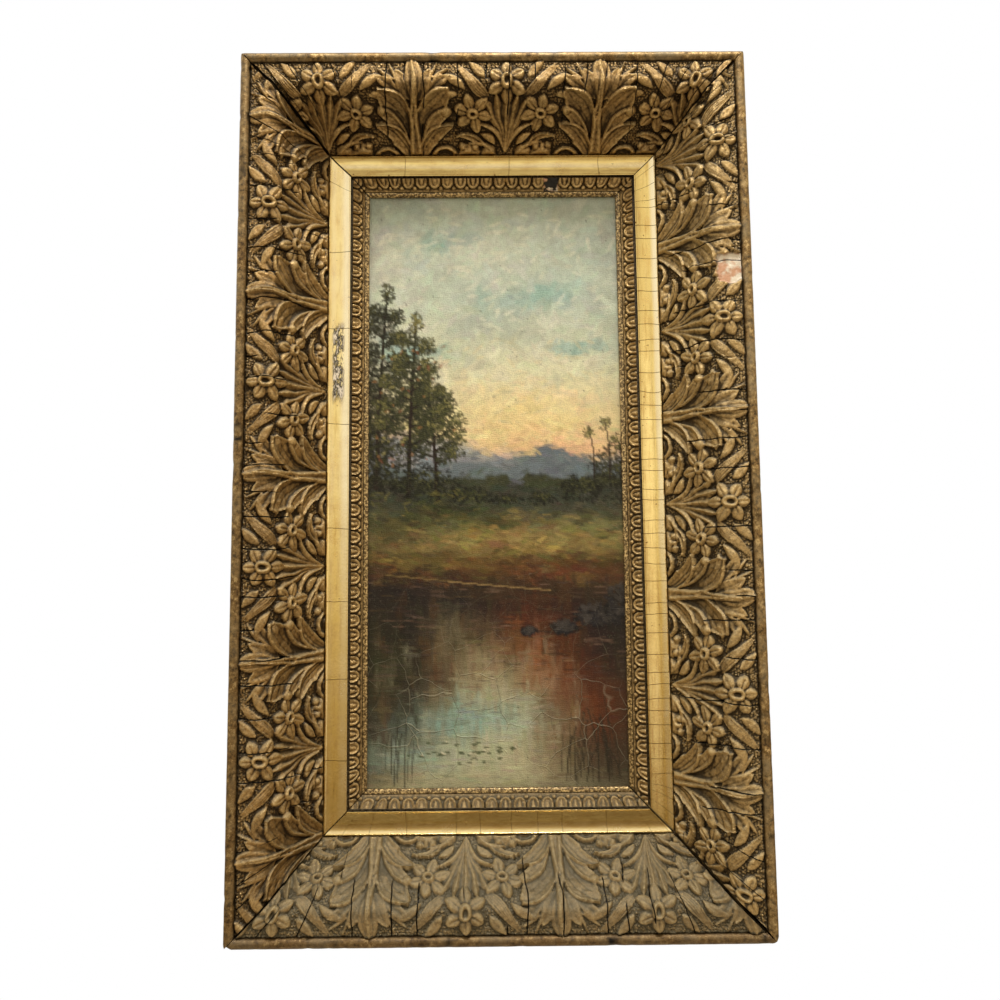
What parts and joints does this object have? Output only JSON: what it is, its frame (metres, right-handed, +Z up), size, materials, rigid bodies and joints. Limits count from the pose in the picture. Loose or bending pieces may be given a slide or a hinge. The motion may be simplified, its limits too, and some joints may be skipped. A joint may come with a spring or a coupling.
{
  "type": "framed oil painting",
  "caption": "Tall landscape painting on canvas in a deep bronzed composition frame with a gilded liner, hung on a wall.",
  "frame": {"origin": "hanging point: middle of the top rail's flat back, 35 mm below the top edge", "axes": "+Z up, +X to the right as seen from the front, -Y out of the wall towards the viewer; the wall is the plane Y = 0"},
  "size_m": [0.3656, 0.0773, 0.6197],
  "materials": {
    "rail": "bronzed gesso on pine, worn",
    "ornament": "moulded composition in bronze paint, dusty and cracked",
    "liner": "burnished gilding on gesso",
    "eggs": "moulded composition in bronze paint",
    "painting": "oil paint on stretched canvas, varnished and crazed",
    "stretcher": "bare aged pine"
  },
  "bodies": {
    "root": {"outer_rail_top": "rail", "outer_rail_right": "rail", "outer_rail_bottom": "rail", "outer_rail_left": "rail", "cast_ornament_top": "ornament", "cast_ornament_right": "ornament", "cast_ornament_bottom": "ornament", "cast_ornament_left": "ornament", "gilded_liner_top": "liner", "gilded_liner_right": "liner", "gilded_liner_bottom": "liner", "gilded_liner_left": "liner", "egg_strip_top": "eggs", "egg_strip_right": "eggs", "egg_strip_bottom": "eggs", "egg_strip_left": "eggs", "stretcher_bar_top": "stretcher", "stretcher_bar_right": "stretcher", "stretcher_bar_bottom": "stretcher", "stretcher_bar_left": "stretcher", "canvas": "painting"}
  },
  "joints": []
}
